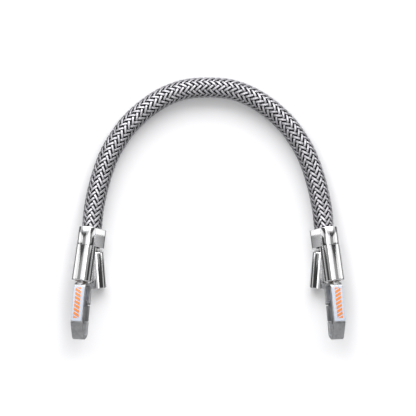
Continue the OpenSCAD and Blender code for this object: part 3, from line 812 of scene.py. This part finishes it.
# ---- The label plates ---------------------------------------------------------------------
# A thin enamelled plate on each hook's long leg, pale blue-white, with a plain column of
# slanted orange bars down its middle.
plate_t, plate_len, plate_top, plate_edge = 0.9 * MM, 37 * MM, 5.2 * MM, 0.6 * MM
plate_w = band_w - 2 * plate_edge
plate_round = 3 * MM
plate_outline = [(0, 0), (plate_w, 0)]
plate_outline += corner(plate_w - plate_round, plate_len - plate_round, plate_round, 0)
plate_outline += corner(plate_round, plate_len - plate_round, plate_round, 90)
plate_mesh = prism(plate_outline, 0, plate_t, soften=0.25 * MM, limit=60)
plate_uv = plate_mesh.uv_layers.new(name="plate")
for loop in plate_mesh.loops:
    spot = plate_mesh.vertices[loop.vertex_index].co
    plate_uv.data[loop.index].uv = (spot.x / plate_w, 1 - spot.y / plate_len)
on_leg = (at_loop @ Matrix.Translation((9 * MM, -plate_top - plate_len, band_w / 2 - plate_edge))
          @ Matrix.Rotation(math.radians(90), 4, "Y"))
enamel, g, coords, shader = new_finish("enamel", Coat_Weight=0.5, Coat_Roughness=0.08)
plate_u, plate_v, _ = g.split(g.add("ShaderNodeUVMap", {"uv_map": "plate"})["UV"])
bar_phase = (plate_v * 9.0 + (plate_u - 0.5) * 1.5) % 1.0
in_column = (plate_u > 0.26) * (plate_u < 0.80) * (plate_v > 0.05) * (plate_v < 0.92)
bars = in_column * (bar_phase < 0.66)
rims = in_column * (bar_phase > 0.66) * (bar_phase < 0.8)
chips = (g.noise(coords, 1100.0, 4.0) * 6 - 3.7).clip(0, 1)
enamel_wave = g.noise(coords, 260.0)
ground = g.blend(enamel_wave, (0.50, 0.56, 0.66, 1), (0.62, 0.66, 0.73, 1))
printed = g.blend(rims, g.blend(bars, ground, (0.83, 0.25, 0.045, 1)), (0.24, 0.34, 0.48, 1))
wire_up(g, shader, Base_Color=g.blend(chips * 0.5, printed, (0.5, 0.51, 0.53, 1)),
        Roughness=0.22 + 0.2 * enamel_wave + 0.2 * chips,
        Normal=g.bump(bars * 0.5 + enamel_wave * 0.2 - chips * 0.5, 0.00008, 0.5))
at_both_ends("enamel_plate", turned_mesh(plate_mesh, on_leg), "{side}_hook_body",
             [enamel], "{side}_label_plate")


# ---- The gates ----------------------------------------------------------------------------
# A straight bar of brushed steel hinges on a pin between the ears, swings into the loop and
# stops behind the nose on a short tongue. A blue leaf spring presses it shut.
gate_t, gate_end = 2.4 * MM, -gate_top - gate_len
stop_x = -loop_x + band_t / 2 + 0.1 * MM
gate_mesh = box_mesh((-loop_x - gate_t / 2, gate_end, -band_w / 2 + 0.2 * MM),
                     (-loop_x + gate_t / 2, -gate_top - 3.2 * MM, band_w / 2 - 0.2 * MM), 0.5 * MM)
for low, high in (((-loop_x - gate_t / 2, -gate_top - 5.5 * MM, -knuckle_w / 2),
                   (-loop_x + gate_t / 2, -gate_top - 0.5 * MM, knuckle_w / 2)),
                  ((stop_x - 0.5 * MM, gate_end + 0.01 * MM, -3 * MM), (stop_x + 1.1 * MM, gate_end + 5 * MM, 3 * MM)),
                  ((stop_x, gate_end - 2.4 * MM, -2.99 * MM), (stop_x + 1.09 * MM, gate_end + MM, 2.99 * MM))):
    gate_mesh = cut_or_join(gate_mesh, box_mesh(low, high, 0.2 * MM), "UNION")
gate_mesh = cut_or_join(gate_mesh, drum(ear_r - 0.1 * MM, -knuckle_w / 2 + 0.01 * MM, knuckle_w / 2 - 0.01 * MM,
                                        -loop_x, -gate_top, soften=0.2 * MM), "UNION")
gate_mesh = cut_or_join(gate_mesh, drum(pin_r + fit, -band_w, band_w, -loop_x, -gate_top), "DIFFERENCE")
brushed_gate, g, coords, shader = new_finish("brushed_gate", metallic=1.0)
brush_map = g.add("ShaderNodeMapping", None, {"Vector": coords, "Scale": (2200, 90, 2200)})
brush_marks = g.noise(brush_map["Vector"], 1.0, 3.0)
gate_smudge = g.noise(coords, 180.0, 3.0)
wire_up(g, shader, Base_Color=g.blend(brush_marks, (0.27, 0.275, 0.285, 1), (0.40, 0.405, 0.415, 1)),
        Roughness=0.3 + 0.15 * gate_smudge, Normal=g.bump(brush_marks, 0.00003, 0.5))
at_both_ends("brushed_gate", turned_mesh(gate_mesh, at_loop), "{side}_gate_body",
             [brushed_gate], "{side}_gate")

blued_spring, g, coords, shader = new_finish("blued_spring", metallic=1.0)
temper = g.noise(coords, 250.0, 3.0)
wire_up(g, shader, Base_Color=g.blend(temper, (0.30, 0.33, 0.41, 1), (0.46, 0.48, 0.53, 1)),
        Roughness=0.25 + 0.2 * temper, Normal=g.bump(temper, 0.00003, 0.3))
for side in ("left", "right"):
    dress(f"{side}_gate_pin", turned_steel)
    dress(f"{side}_gate_spring", blued_spring)


# ---- The connectors -----------------------------------------------------------------------
# A black moulded insert stands back in each side barrel, with three brass contacts: sleeves at
# the left end, and pins with rounded ends at the right.
moulding, g, coords, shader = new_finish("moulding")
mould_grain = g.noise(coords, 1000.0, 3.0)
mould_flow = g.noise(coords, 120.0)
wire_up(g, shader, Base_Color=g.blend(mould_flow, (0.016, 0.016, 0.018, 1), (0.035, 0.035, 0.037, 1)),
        Roughness=0.4 + 0.2 * mould_grain, Normal=g.bump(mould_grain, 0.00008, 0.5))
turned_brass, g, coords, shader = new_finish("turned_brass", metallic=1.0)
brass_lines = g.noise(coords, 1600.0, 2.0)
brass_tint = g.noise(coords, 170.0, 3.0)
wire_up(g, shader, Base_Color=g.blend(brass_tint, (0.62, 0.42, 0.17, 1), (0.84, 0.63, 0.30, 1)),
        Roughness=0.18 + 0.2 * brass_tint, Normal=g.bump(brass_lines, 0.00003, 0.5))
dress("left_socket_insert", moulding)
dress("right_pin_insert", moulding)
dress("left_contact_sleeves", turned_brass)
dress("right_contact_pins", turned_brass)
